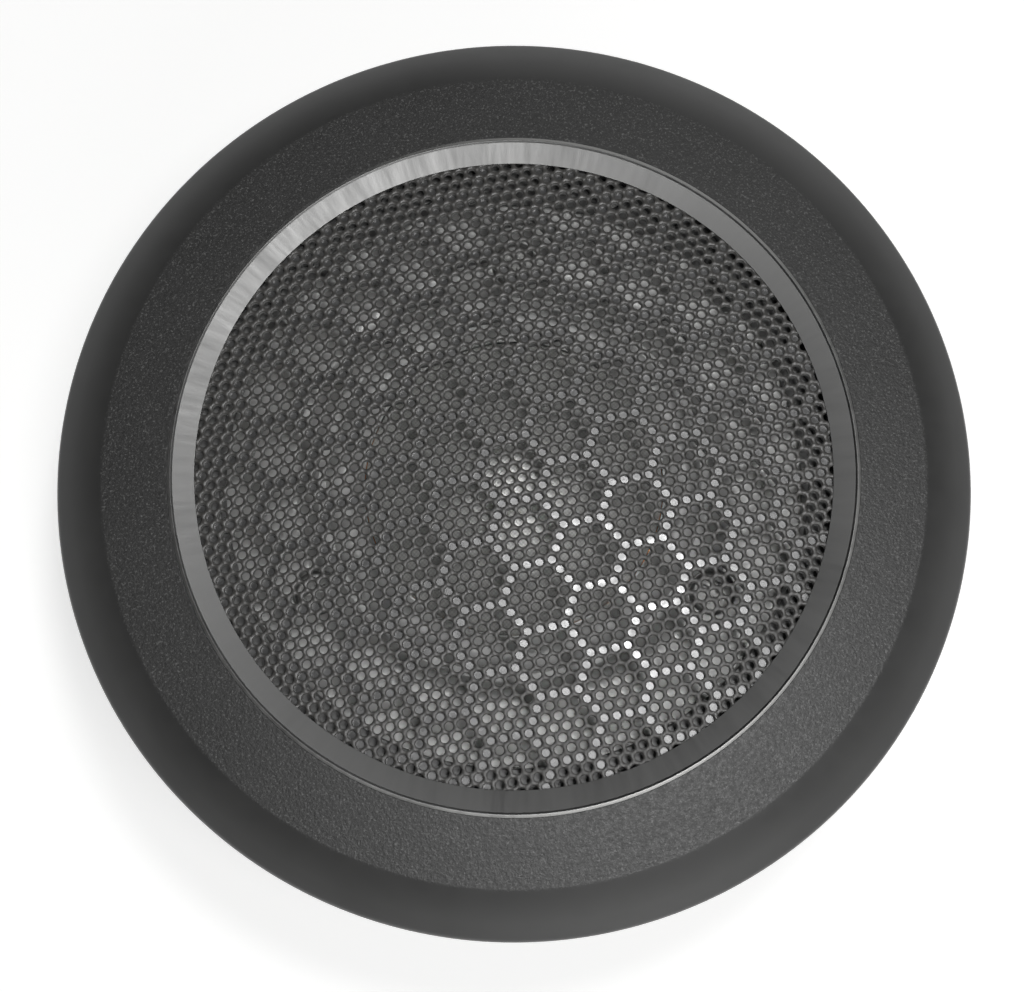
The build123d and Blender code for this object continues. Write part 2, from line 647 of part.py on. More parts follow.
# ---- one file for each piece -----------------------------------------------------------------------
PIECES = {
    "bezel": bezel(),
    "trim_ring": trim_ring(),
    "grille": grille(),
    "grille_ribs": grille_ribs(),
    "driver_gasket": driver_gasket(),
    "faceplate": faceplate(),
    "faceplate_screws": faceplate_screws(),
    "driver_screws": driver_screws(),
    "dome": dome(),
    "surround": surround(),
    "voice_coil_former": voice_coil_former(),
    "voice_coil": voice_coil(),
    "coil_lead_outs": coil_lead_outs(),
    "diaphragm_ring": diaphragm_ring(),
    "solder_tabs": solder_tabs(),
    "top_plate": top_plate(),
    "magnet": magnet(),
    "yoke": yoke(),
    "copper_cap": copper_cap(),
    "dome_damping_pad": dome_damping_pad(),
    "vent_felt": vent_felt(),
    "lead_positive": lead(1, CAPACITOR_X + 3.4),
    "lead_negative": lead(-1, -5.0),
    "terminal_board": terminal_board(),
    "terminal_positive": terminal(1),
    "terminal_negative": terminal(-1),
    "capacitor": capacitor(),
    "capacitor_leads": capacitor_leads(),
    "rear_housing": rear_housing(),
    "rear_gasket": rear_gasket(),
    "rear_cover": rear_cover(),
    "cover_screws": cover_screws(),
    "retaining_clips": retaining_clips(),
    "panel_gasket": panel_gasket(),
}

os.makedirs("parts", exist_ok=True)
for name, piece in PIECES.items():
    export_step(piece, f"parts/{name}.step")
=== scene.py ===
import json
import math

import bmesh
import bpy
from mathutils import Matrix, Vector


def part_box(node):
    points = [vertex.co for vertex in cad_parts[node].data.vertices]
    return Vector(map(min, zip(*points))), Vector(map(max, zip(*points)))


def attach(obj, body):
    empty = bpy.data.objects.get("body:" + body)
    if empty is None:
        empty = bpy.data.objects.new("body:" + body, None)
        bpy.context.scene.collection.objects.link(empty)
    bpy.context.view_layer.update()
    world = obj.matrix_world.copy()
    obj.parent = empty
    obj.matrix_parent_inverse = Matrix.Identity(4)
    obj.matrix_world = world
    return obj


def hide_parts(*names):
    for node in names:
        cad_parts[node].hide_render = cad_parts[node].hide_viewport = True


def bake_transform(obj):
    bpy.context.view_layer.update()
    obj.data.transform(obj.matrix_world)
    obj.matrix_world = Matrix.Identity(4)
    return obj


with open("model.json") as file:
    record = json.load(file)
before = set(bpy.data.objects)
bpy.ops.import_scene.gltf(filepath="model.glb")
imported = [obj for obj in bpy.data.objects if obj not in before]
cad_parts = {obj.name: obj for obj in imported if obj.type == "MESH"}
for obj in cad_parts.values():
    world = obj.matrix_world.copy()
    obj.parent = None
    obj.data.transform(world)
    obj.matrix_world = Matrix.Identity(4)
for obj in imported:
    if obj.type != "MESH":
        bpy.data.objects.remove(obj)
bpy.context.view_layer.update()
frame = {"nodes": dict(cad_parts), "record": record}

# Round flush-mounted car tweeter. Lengths are millimetres here, and metres only in the meshes.
MM = 0.001


def limits(node):
    """Lowest and highest corner of a CAD node, in millimetres."""
    low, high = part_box(node)
    return low / MM, high / MM


# ---- sizes read from the frame ---------------------------------------------------------------------
BEZEL = limits("bezel")
GRILLE = limits("grille")
RIBS = limits("grille_ribs")
TRIM = limits("trim_ring")
FACEPLATE = limits("faceplate")
DOME = limits("dome")
SURROUND = limits("surround")
HOUSING = limits("rear_housing")
COVER = limits("rear_cover")
FLOOR_Z = COVER[0].z

FACE_R = BEZEL[1].x
RIDGE_Z = TRIM[1].z
GRILLE_R, GRILLE_Z = GRILLE[1].x, GRILLE[1].z
LEDGE_Z = RIBS[0].z
RING_SEAT_R = TRIM[1].x

# ---- sizes that a box doesn't tell -----------------------------------------------------------------
EDGE_Z = 1.3  # height of the bezel's largest radius
CREASE_R, CREASE_Z = 33.0, 3.55  # where the textured annulus meets the smooth rim
RIM_START_SLOPE, RIM_END_SLOPE = 14.0, 34.0
FIELD_R = 25.5  # visible radius of the grille
BEAD_R, CREST_R = 27.2, 27.36  # where the ring's facet ends in a bead, and the bead's crest
BEZEL_LIP_Z = RIDGE_Z - 0.06  # height of the bezel beside the bead
PITCH, HOLE_R, LATTICE_TURN = 1.0, 0.35, 11.4
LATTICE_CENTRE = (0.02, -0.15)
HOLE_MARGIN = 0.3
HOLE_CHAMFER = 0.04
SHELF_R, SHELF_Z = 23.8, -1.6
SPIGOT_R, SPIGOT_Z = 29.0, -3.0
BARREL_R, BARREL_BORE_R = HOUSING[1].x, 27.0
HOUSING_BORE_R, LIP_R = 26.2, 26.95
GROOVE_IN_R, GROOVE_OUT_R, GROOVE_T = 33.6, 35.8, 0.8  # for the foam gasket
CORING_IN_R, CORING_OUT_R, CORING_T = 30.4, 32.6, 1.9
CORING_RIBS, CORING_RIB_WIDTH, CORING_RIB_ANGLE = 12, 1.4, 15.0
SCREW_ANGLE, CLIP_ANGLE = 30.0, 90.0  # first of three places round the axis
COVER_SCREW_PITCH_R, FACEPLATE_SCREW_PITCH_R, DRIVER_SCREW_PITCH_R = 24.0, 18.8, 24.8
SOCKET_X, SOCKET_Y, SOCKET_WALL, SOCKET_FLOOR_Z = 5.3, 3.3, 1.5, -22.0
KEY_HALF_WIDTH, KEY_DEPTH, KEY_LENGTH = 1.0, 0.8, 6.0

ROLL_CENTRE = 14.4  # of the surround's half roll

FLOOR_GLOW = 0.48
ROUND = 288  # segments of a large turned piece
HOLE_SIDES = 12


# ---- mesh helpers ----------------------------------------------------------------------------------
def finish_piece(name, mesh, node, look, body="housing", sharp=40.0):
    """Puts a mesh in the scene in place of a CAD node, in that node's slot and on a body.

    The body is None for a piece that bends between two bodies.
    """
    mesh.set_sharp_from_angle(angle=math.radians(sharp))
    piece = bpy.data.objects.new(name, mesh)
    bpy.context.scene.collection.objects.link(piece)
    piece.data.materials.append(look)
    if body:
        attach(piece, body)
    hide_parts(node)
    return piece


def mesh_from(name, points, faces):
    """A mesh in metres from points in millimetres, with its faces turned outwards."""
    mesh = bpy.data.meshes.new(name)
    mesh.from_pydata([(x * MM, y * MM, z * MM) for x, y, z in points], [], faces)
    work = bmesh.new()
    work.from_mesh(mesh)
    bmesh.ops.recalc_face_normals(work, faces=work.faces)
    for face in work.faces:
        face.smooth = True
    work.to_mesh(mesh)
    work.free()
    return mesh


def softened(corners, steps=4):
    """A closed section from (radius, height, rounding) corners, each corner cut to an arc."""
    section = []
    for k, (r, z, rounding) in enumerate(corners):
        here = Vector((r, z))
        if rounding <= 0:
            section.append((r, z))
            continue
        before = Vector(corners[k - 1][:2]) - here
        after = Vector(corners[(k + 1) % len(corners)][:2]) - here
        half = before.angle(after) / 2
        reach = rounding / math.tan(half)
        middle = here + (before.normalized() + after.normalized()).normalized() * rounding / math.sin(half)
        start = (here + before.normalized() * reach - middle).normalized()
        end = (here + after.normalized() * reach - middle).normalized()
        section += [tuple(middle + start.slerp(end, step / steps) * rounding) for step in range(steps + 1)]
    return section


def turned(name, section, segments=ROUND):
    """Solid of revolution about Z from a closed section of (radius, height) points."""
    points, faces, rings = [], [], []
    for r, z in section:
        count = segments if r > 1e-6 else 1
        rings.append((len(points), count))
        for k in range(count):
            turn = math.tau * k / segments
            points.append((r * math.cos(turn), r * math.sin(turn), z))
    for (first, n_first), (second, n_second) in zip(rings, rings[1:] + rings[:1]):
        if n_first == n_second == 1:
            continue
        for k in range(segments):
            after = (k + 1) % segments
            if n_first == 1:
                faces.append((first, second + k, second + after))
            elif n_second == 1:
                faces.append((first + k, second, first + after))
            else:
                faces.append((first + k, second + k, second + after, first + after))
    return mesh_from(name, points, faces)


def weighted(piece):
    """Flat faces keep flat shading beside small roundings."""
    keep = piece.modifiers.new("weighted", "WEIGHTED_NORMAL")
    keep.keep_sharp = True
    return piece


def bar(x, y, z, chamfer=0.0):
    """Points and faces of a box between bounds along each axis, its upright edges cut by a chamfer."""
    (x0, x1), (y0, y1), (z0, z1) = x, y, z
    c = chamfer
    rim = [(x0 + c, y0), (x1 - c, y0), (x1, y0 + c), (x1, y1 - c)]
    rim += [(x1 - c, y1), (x0 + c, y1), (x0, y1 - c), (x0, y0 + c)]
    if not chamfer:
        rim = rim[1::2]
    return prism([(px, py, z0) for px, py in rim], [(px, py, z1) for px, py in rim])


def prism(low, high):
    """Points and faces of a solid between two outlines with as many points."""
    n = len(low)
    sides = [(k, (k + 1) % n, n + (k + 1) % n, n + k) for k in range(n)]
    return low + high, sides + [tuple(range(n))[::-1], tuple(range(n, 2 * n))]


def disc(x, y, low, high, low_r, high_r=None, sides=32):
    """Points and faces of a cylinder or cone along Z."""
    high_r = low_r if high_r is None else high_r
    turns = [math.tau * k / sides for k in range(sides)]

    def rim(r, z):
        return [(x + r * math.cos(t), y + r * math.sin(t), z) for t in turns]

    return prism(rim(low_r, low), rim(high_r, high))


def sector(inner, outer, low, high, middle, half, steps=10):
    """Points and faces of a piece of a ring, half an angle either side of its middle, in degrees."""
    turns = [math.radians(middle - half + 2 * half * k / steps) for k in range(steps + 1)]
    rim = [(outer * math.cos(t), outer * math.sin(t)) for t in turns]
    rim += [(inner * math.cos(t), inner * math.sin(t)) for t in reversed(turns)]
    return prism([(x, y, low) for x, y in rim], [(x, y, high) for x, y in rim])


def round_the_axis(solid, first_angle, count=3):
    """Copies of a solid turned evenly about Z."""
    points, faces = solid
    copies = []
    for k in range(count):
        turn = math.radians(first_angle + 360 / count * k)
        c, s = math.cos(turn), math.sin(turn)
        copies.append(([(x * c - y * s, x * s + y * c, z) for x, y, z in points], faces))
    return copies


def joined(name, solids):
    """One mesh of several separate solids."""
    points, faces = [], []
    for more_points, more_faces in solids:
        start = len(points)
        points += more_points
        faces += [tuple(k + start for k in face) for face in more_faces]
    return mesh_from(name, points, faces)


def combined(mesh, operation, solids):
    """The mesh with the solids cut away (DIFFERENCE) or added (UNION)."""
    body = bpy.data.objects.new("body", mesh)
    tool = bpy.data.objects.new("tool", joined("tool", solids))
    for thing in (body, tool):
        bpy.context.scene.collection.objects.link(thing)
    step = body.modifiers.new("boolean", "BOOLEAN")
    step.operation, step.object, step.solver = operation, tool, "MANIFOLD"
    result = bpy.data.meshes.new_from_object(body.evaluated_get(bpy.context.evaluated_depsgraph_get()))
    for thing in (body, tool):
        bpy.data.objects.remove(thing)
    result.materials.clear()
    for face in result.polygons:
        face.use_smooth = True
    return result


# ---- material helpers ------------------------------------------------------------------------------
class Look:
    """A Principled material whose detail is worked out in millimetres of the object."""

    def __init__(self, name, colour, roughness, **sockets):
        self.material = bpy.data.materials.new(name)
        self.material.use_nodes = True
        self.tree = self.material.node_tree
        self.shader = self.tree.nodes["Principled BSDF"]
        self.shader.inputs["Base Color"].default_value = (*colour, 1)
        self.shader.inputs["Roughness"].default_value = roughness
        for socket, value in sockets.items():
            self.shader.inputs[socket.replace("_", " ")].default_value = value
        metres = self.add("ShaderNodeTexCoord")["Object"]
        self.place = self.add("ShaderNodeVectorMath", {0: metres, 3: 1 / MM}, operation="SCALE")[0]

    def add(self, kind, inputs=(), **settings):
        """A node; each input is linked where it is given a socket, and set where it is given a value."""
        node = self.tree.nodes.new(kind)
        for setting, value in settings.items():
            setattr(node, setting, value)
        for key, value in dict(inputs).items():
            if isinstance(value, bpy.types.NodeSocket):
                self.tree.links.new(value, node.inputs[key])
            else:
                node.inputs[key].default_value = value
        return node.outputs

    def drive(self, socket, value):
        self.tree.links.new(value, self.shader.inputs[socket])

    def maths(self, operation, first, second=0.0, third=0.0):
        return self.add("ShaderNodeMath", {0: first, 1: second, 2: third}, operation=operation)[0]

    def noise(self, size, detail=2.0, rough=0.5, place=None):
        """Noise of a grain size in millimetres, 0 to 1."""
        vector = self.place if place is None else place
        inputs = {"Vector": vector, "Scale": 1 / size, "Detail": detail, "Roughness": rough}
        return self.add("ShaderNodeTexNoise", inputs)["Fac"]

    def cells(self, size, feature="F1", output="Distance"):
        inputs = {"Vector": self.place, "Scale": 1 / size}
        return self.add("ShaderNodeTexVoronoi", inputs, feature=feature)[output]

    def spread(self, value, low, high, to_low=0.0, to_high=1.0):
        """The value from low..high stretched to to_low..to_high, and held there."""
        inputs = {"Value": value, "From Min": low, "From Max": high, "To Min": to_low, "To Max": to_high}
        return self.add("ShaderNodeMapRange", inputs)[0]

    def radius(self):
        """Distance from the axis, in millimetres."""
        flat = self.add("ShaderNodeVectorMath", {0: self.place, 1: (1, 1, 0)}, operation="MULTIPLY")[0]
        return self.add("ShaderNodeVectorMath", {0: flat}, operation="LENGTH")["Value"]

    def height(self):
        return self.add("ShaderNodeSeparateXYZ", {0: self.place})["Z"]

    def blend(self, share, first, second):
        """Colour that goes from the first to the second as the share goes from 0 to 1."""
        node = self.tree.nodes.new("ShaderNodeMix")
        node.data_type = "RGBA"
        self.tree.links.new(share, node.inputs["Factor"])
        for socket, colour in ((node.inputs[6], first), (node.inputs[7], second)):
            if isinstance(colour, bpy.types.NodeSocket):
                self.tree.links.new(colour, socket)
            else:
                socket.default_value = (*colour, 1)
        return node.outputs[2]

    def bump(self, height, depth, under=None):
        """Raises the surface by depth millimetres where the height is 1."""
        inputs = {"Height": height, "Distance": depth * MM, "Strength": 1.0}
        if under is not None:
            inputs["Normal"] = under
        return self.add("ShaderNodeBump", inputs)["Normal"]

    def round_edges(self, size):
        """Edges of a CAD piece shaded as if rounded by this radius."""
        return self.add("ShaderNodeBevel", {"Radius": size * MM}, samples=4)["Normal"]


def shade(colour, factor):
    return tuple(min(1.0, c * factor) for c in colour)


def moulded(name, colour, roughness, grain=0.12, depth=0.006, vary=0.25, edge=0.1, **sockets):
    """Moulded plastic: fine spark-eroded grain, slight patches and rounded edges."""
    look = Look(name, colour, roughness, **sockets)
    patches = look.noise(6.0, 3.0)
    look.drive("Base Color", look.blend(patches, shade(colour, 1 - vary), shade(colour, 1 + vary)))
    look.drive("Roughness", look.spread(look.noise(2.0, 3.0), 0.3, 0.7, roughness - 0.06, roughness + 0.06))
    look.drive("Normal", look.bump(look.noise(grain, 2.0), depth, look.round_edges(edge)))
    return look.material


def metal(name, colour, roughness, grain=0.08, stretch=(1, 1, 1), depth=0.002, edge=0.1, **sockets):
    """Metal with fine drawn or rolled marks and slight tarnish."""
    look = Look(name, colour, roughness, Metallic=1.0, **sockets)
    lines = look.add("ShaderNodeVectorMath", {0: look.place, 1: stretch}, operation="MULTIPLY")[0]
    marks = look.noise(grain, 3.0, 0.6, lines)
    tarnish = look.noise(3.0, 4.0)
    look.drive("Base Color", look.blend(tarnish, shade(colour, 0.72), shade(colour, 1.15)))
    look.drive("Roughness", look.spread(marks, 0.25, 0.75, roughness - 0.08, roughness + 0.12))
    look.drive("Normal", look.bump(marks, depth, look.round_edges(edge)))
    return look.material


def foam(name, colour):
    """Closed-cell foam: fine pores, matte."""
    look = Look(name, colour, 0.9, Specular_IOR_Level=0.25)
    pores = look.cells(0.3)
    look.drive("Base Color", look.blend(pores, shade(colour, 0.5), shade(colour, 1.7)))
    look.drive("Normal", look.bump(pores, 0.08))
    return look.material


def felt(name, colour):
    """Pressed wool: crossing fibres, no shine."""
    look = Look(name, colour, 0.95, Specular_IOR_Level=0.15, Sheen_Weight=0.4)
    fibres = look.noise(0.15, 6.0, 0.8)
    look.drive("Base Color", look.blend(fibres, shade(colour, 0.6), shade(colour, 1.5)))
    look.drive("Normal", look.bump(fibres, 0.06))
    return look.material


def insulation(name, colour):
    """Soft wire insulation with faint extrusion marks."""
    return moulded(name, colour, 0.42, grain=0.3, depth=0.004, vary=0.12, edge=0.05)


# ---- materials of the face -------------------------------------------------------------------------
def bezel_look():
    """Black plastic, spark-grained on the annulus and smooth on the rim and behind, with painted light on the
    rim and on the shelf inside the trim ring.
    """
    colour = (0.026, 0.026, 0.0255)
    look = Look("textured_plastic", colour, 0.46, Specular_IOR_Level=0.56)
    off_axis = look.radius()
    inside_crease = look.spread(off_axis, CREASE_R - 0.15, CREASE_R + 0.2, 1.0, 0.0)
    in_front = look.spread(look.height(), CREASE_Z - 0.9, CREASE_Z - 0.6)
    grained = look.maths("MULTIPLY", inside_crease, in_front)

    patches = look.noise(7.0, 4.0)
    plain = look.blend(patches, shade(colour, 0.86), shade(colour, 1.16))
    # Painted sheen: the smooth rim is painted paler from the crease out to its edge, where the convex curve
    # turns towards the light.
    rim_painted_sheen = look.blend(patches, shade(colour, 1.8), shade(colour, 2.5))
    base = look.blend(look.spread(off_axis, CREASE_R - 0.3, CREASE_R + 2.6), plain, rim_painted_sheen)
    flecks = look.spread(look.noise(0.16, 2.0), 0.56, 0.74)
    flecks = look.maths("MULTIPLY", flecks, grained)
    base = look.blend(flecks, base, (0.11, 0.11, 0.108))
    # Painted light: the shelf inside the trim ring, seen through the grille's outer holes, is painted much
    # paler than the black plastic around it.
    shelf_painted_light = look.spread(off_axis, FIELD_R + 1.3, FIELD_R + 1.6, 1.0, 0.0)
    look.drive("Base Color", look.blend(shelf_painted_light, base, (0.12, 0.12, 0.118)))

    smooth = look.spread(look.noise(1.5, 4.0, 0.6), 0.3, 0.7, 0.36, 0.44)
    rough = look.spread(look.noise(0.3, 3.0), 0.3, 0.7, 0.40, 0.56)
    inputs = {"Factor": grained, "A": smooth, "B": rough}
    look.drive("Roughness", look.add("ShaderNodeMix", inputs)["Result"])

    grain = look.maths("ADD", look.cells(0.26, "SMOOTH_F1"), look.noise(0.13, 2.0))
    grain = look.maths("MULTIPLY", look.maths("SUBTRACT", grain, 0.9), grained)
    fine = look.bump(look.noise(0.5, 3.0), 0.0015)
    look.drive("Normal", look.bump(grain, 0.020, fine))
    return look.material


def trim_look():
    """Satin metallised plastic with faint marks that run out from the axis, and a painted highlight on the
    bead's crest.
    """
    colour = (0.083, 0.083, 0.082)
    look = Look("satin_trim", colour, 0.38, Metallic=1.0)
    x, y, _ = look.add("ShaderNodeSeparateXYZ", {0: look.place})
    turn = look.maths("ARCTAN2", y, x)
    round_way = look.maths("MULTIPLY", turn, FIELD_R)
    out_way = look.maths("MULTIPLY", look.radius(), 0.12)
    across = look.add("ShaderNodeCombineXYZ", {0: round_way, 1: out_way})[0]
    streaks = look.noise(0.5, 4.0, 0.6, across)
    wide = look.noise(3.5, 3.0, 0.5, across)
    both = look.maths("MULTIPLY_ADD", streaks, 0.5, look.maths("MULTIPLY", wide, 0.5))
    satin = look.blend(both, shade(colour, 0.78), shade(colour, 1.22))
    # Painted highlight: from the bead's crest outwards the ring is painted pale, standing in for the bright
    # line of light along the ridge.
    bead = look.spread(look.radius(), CREST_R, CREST_R + 0.05)
    look.drive("Base Color", look.blend(bead, satin, (0.42, 0.42, 0.41)))
    look.drive("Roughness", look.spread(both, 0.3, 0.7, 0.3, 0.46))
    look.drive("Normal", look.bump(streaks, 0.003, look.bump(look.noise(0.1), 0.001)))
    return look.material


def grille_look():
    """Punched steel sheet with a dark warm-grey satin coat on its front only."""
    colour = (0.040, 0.0385, 0.036)
    look = Look("grille_coat", colour, 0.42, Specular_IOR_Level=0.6)
    patches = look.noise(5.0, 4.0)
    grain = look.noise(0.12, 2.0)
    tone = look.maths("MULTIPLY_ADD", grain, 0.5, look.maths("MULTIPLY", patches, 0.5))
    coat = look.blend(tone, shade(colour, 0.7), shade(colour, 1.3))
    bare = look.spread(look.height(), GRILLE_Z - 0.16, GRILLE_Z - 0.08, 1.0, 0.0)
    look.drive("Base Color", look.blend(bare, coat, (0.22, 0.22, 0.215)))
    look.drive("Roughness", look.spread(look.noise(0.8, 3.0), 0.3, 0.7, 0.36, 0.48))
    look.drive("Normal", look.bump(grain, 0.005))
    return look.material


def ribs_look():
    """Glossy moulded honeycomb, whose tops close the holes that lie on them."""
    colour = (0.04, 0.04, 0.04)
    look = Look("rib_plastic", colour, 0.3, Specular_IOR_Level=1.0)
    wave = look.noise(1.6, 2.0)
    look.drive("Base Color", look.blend(wave, shade(colour, 0.8), shade(colour, 1.2)))
    look.drive("Roughness", look.spread(look.noise(0.9, 2.0), 0.3, 0.7, 0.21, 0.33))
    look.drive("Normal", look.bump(wave, 0.010, look.round_edges(0.1)))
    return look.material


def faceplate_look():
    """Grey satin moulding of the driver's front."""
    colour = (0.66, 0.66, 0.65)
    look = Look("grey_plastic", colour, 0.42, Metallic=0.3)
    patches = look.noise(4.0, 3.0)
    look.drive("Base Color", look.blend(patches, shade(colour, 0.85), shade(colour, 1.15)))
    look.drive("Roughness", look.spread(look.noise(1.0, 3.0), 0.3, 0.7, 0.36, 0.48))
    look.drive("Normal", look.bump(look.noise(0.15, 2.0), 0.004, look.round_edges(0.12)))
    return look.material


def dome_look():
    """Pale coated dome: fine weave under a satin coat."""
    colour = (0.85, 0.85, 0.83)
    look = Look("dome_film", colour, 0.46, Metallic=0.5)
    x, y, _ = look.add("ShaderNodeSeparateXYZ", {0: look.place})
    threads = [look.maths("SINE", look.maths("MULTIPLY", way, math.tau / 0.35)) for way in (x, y)]
    weave = look.spread(look.maths("MULTIPLY", *threads), -1.0, 1.0)
    look.drive("Base Color", look.blend(weave, shade(colour, 0.85), shade(colour, 1.12)))
    look.drive("Roughness", look.spread(look.noise(1.2, 3.0), 0.3, 0.7, 0.42, 0.52))
    look.drive("Normal", look.bump(weave, 0.012))
    return look.material


def surround_look():
    """Matte flexible film."""
    colour = (0.78, 0.78, 0.765)
    look = Look("surround_film", colour, 0.5, Metallic=0.2)
    patches = look.noise(1.5, 4.0)
    look.drive("Base Color", look.blend(patches, shade(colour, 0.75), shade(colour, 1.3)))
    look.drive("Normal", look.bump(look.noise(0.12, 3.0), 0.005))
    return look.material


def board_look():
    """Green laminate with the weave of its glass cloth."""
    colour = (0.03, 0.15, 0.06)
    look = Look("board", colour, 0.35, Coat_Weight=0.4)
    x, y, _ = look.add("ShaderNodeSeparateXYZ", {0: look.place})
    threads = [look.maths("SINE", look.maths("MULTIPLY", way, math.tau / 0.6)) for way in (x, y)]
    weave = look.spread(look.maths("MULTIPLY", *threads), -1.0, 1.0)
    look.drive("Base Color", look.blend(weave, shade(colour, 0.8), shade(colour, 1.25)))
    look.drive("Normal", look.bump(weave, 0.01, look.round_edges(0.1)))
    return look.material


def winding_look():
    """Enamelled copper wire, turn on turn."""
    colour = (0.72, 0.33, 0.15)
    look = Look("copper", colour, 0.3, Metallic=1.0)
    turns = look.maths("SINE", look.maths("MULTIPLY", look.height(), math.tau / 0.15))
    look.drive("Base Color", look.blend(look.noise(0.8, 3.0), shade(colour, 0.75), shade(colour, 1.15)))
    look.drive("Normal", look.bump(look.spread(turns, -1.0, 1.0), 0.02))
    return look.material


LOOKS = {
    "textured_plastic": bezel_look(),
    "satin_trim": trim_look(),
    "grille_coat": grille_look(),
    "rib_plastic": ribs_look(),
    "foam": foam("foam", (0.03, 0.03, 0.032)),
    "grey_plastic": faceplate_look(),
    "grey_screws": metal("grey_screws", (0.42, 0.42, 0.41), 0.5, Specular_IOR_Level=0.5),
    "zinc_screws": metal("zinc_screws", (0.62, 0.61, 0.57), 0.3),
    "dome_film": dome_look(),
    "surround_film": surround_look(),
    "former": metal("former", (0.75, 0.76, 0.78), 0.28, stretch=(1, 1, 8)),
    "copper": winding_look(),
    "brass_terminal": metal("brass_terminal", (0.78, 0.66, 0.42), 0.26, stretch=(8, 8, 1)),
    "zinc_steel": metal("zinc_steel", (0.55, 0.55, 0.57), 0.36, grain=0.2),
    "magnet": metal("magnet", (0.5, 0.5, 0.52), 0.16, grain=0.3, depth=0.001),
    "felt": felt("felt", (0.25, 0.24, 0.23)),
    "wire_red": insulation("wire_red", (0.45, 0.02, 0.02)),
    "wire_black": insulation("wire_black", (0.02, 0.02, 0.02)),
    "board": board_look(),
    "capacitor_sleeve": moulded("capacitor_sleeve", (0.02, 0.04, 0.2), 0.25, depth=0.002),
    "tinned_wire": metal("tinned_wire", (0.7, 0.7, 0.7), 0.3),
    "housing_plastic": moulded("housing_plastic", (0.026, 0.026, 0.027), 0.42, grain=0.16, depth=0.008),
    "spring_steel": metal("spring_steel", (0.5, 0.5, 0.52), 0.24, grain=0.1, stretch=(1, 1, 0.12)),
}
SLOT_OF = {part["node"]: part["material_slot"] for part in frame["record"]["subparts"]}


# ---- pieces of the face ----------------------------------------------------------------------------
def rim_points(steps=14):
    """The rim's section, a long and a short arc that meet smoothly, from the crease to the edge."""
    first, middle, last = (math.radians(a) for a in (RIM_START_SLOPE, RIM_END_SLOPE, 90))
    wide = math.sin(middle) - math.sin(first)
    deep = math.cos(first) - math.cos(middle)
    edge_wide, edge_deep = 1 - math.sin(middle), math.cos(middle)
    out, down = FACE_R - CREASE_R, CREASE_Z - EDGE_Z
    scale = wide * edge_deep - edge_wide * deep
    long_r = (out * edge_deep - edge_wide * down) / scale
    short_r = (wide * down - deep * out) / scale
    points, here = [], (CREASE_R, CREASE_Z)
    for radius, low, high in ((long_r, first, middle), (short_r, middle, last)):
        for step in range(1, steps + 1):
            slope = low + (high - low) * step / steps
            points.append((here[0] + radius * (math.sin(slope) - math.sin(low)),
                           here[1] - radius * (math.cos(low) - math.cos(slope))))
        here = points[-1]
    return points


def bezel():
    """Front shell with its spigot and barrel, cored behind the flange."""
    barrel_z = BEZEL[0].z
    inner = [
        (SHELF_R, LEDGE_Z, 0.15),
        (RING_SEAT_R + 0.02, LEDGE_Z, 0.0),
        (RING_SEAT_R + 0.02, BEZEL_LIP_Z, 0.02),
        (CREASE_R, CREASE_Z, 1.2),
    ]
    rim = rim_points()
    outer = [
        (FACE_R, 0.5, 0.1),
        (FACE_R - 0.5, 0.0, 0.1),
        (GROOVE_OUT_R, 0.0, 0.08),
        (GROOVE_OUT_R, GROOVE_T, 0.0),
        (GROOVE_IN_R, GROOVE_T, 0.0),
        (GROOVE_IN_R, 0.0, 0.08),
        (SPIGOT_R, 0.0, 0.1),
        (SPIGOT_R, SPIGOT_Z, 0.2),
        (BARREL_R, SPIGOT_Z, 0.0),
        (BARREL_R, barrel_z, 0.2),
        (BARREL_BORE_R, barrel_z, 0.1),
        (BARREL_BORE_R, SHELF_Z, 0.2),
        (SHELF_R, SHELF_Z, 0.15),
    ]
    corners = inner + [(r, z, 0.0) for r, z in rim] + outer
    mesh = turned("bezel_shell", softened(corners))

    past = 1.0
    spacing = 360 / CORING_RIBS
    rib_half = math.degrees(CORING_RIB_WIDTH / (CORING_IN_R + CORING_OUT_R))
    middle = CORING_RIB_ANGLE + spacing / 2
    coring = sector(CORING_IN_R, CORING_OUT_R, -past, CORING_T, 0, spacing / 2 - rib_half)
    window_half, window_low, window_high = 2.5, -9.0, -7.4
    pocket_floor_r, pocket_half, pocket_low = 27.9, 3.7, -9.9
    pilot_r, pilot_depth = 0.95, 2.9
    beyond = SPIGOT_R + past
    window = bar((BARREL_BORE_R - past, beyond), (-window_half, window_half), (window_low, window_high))
    pocket = bar((pocket_floor_r, beyond), (-pocket_half, pocket_half), (pocket_low, -0.001))
    pilot = disc(DRIVER_SCREW_PITCH_R, 0, SHELF_Z - past, SHELF_Z + pilot_depth, pilot_r)
    tools = round_the_axis(coring, middle, CORING_RIBS) + round_the_axis(window, SCREW_ANGLE)
    tools += round_the_axis(pocket, CLIP_ANGLE) + round_the_axis(pilot, SCREW_ANGLE)
    mesh = combined(mesh, "DIFFERENCE", tools)
    mesh = combined(mesh, "UNION", round_the_axis(peg(pocket_floor_r), CLIP_ANGLE))
    return weighted(finish_piece("bezel_shell", mesh, "bezel", LOOKS["textured_plastic"]))


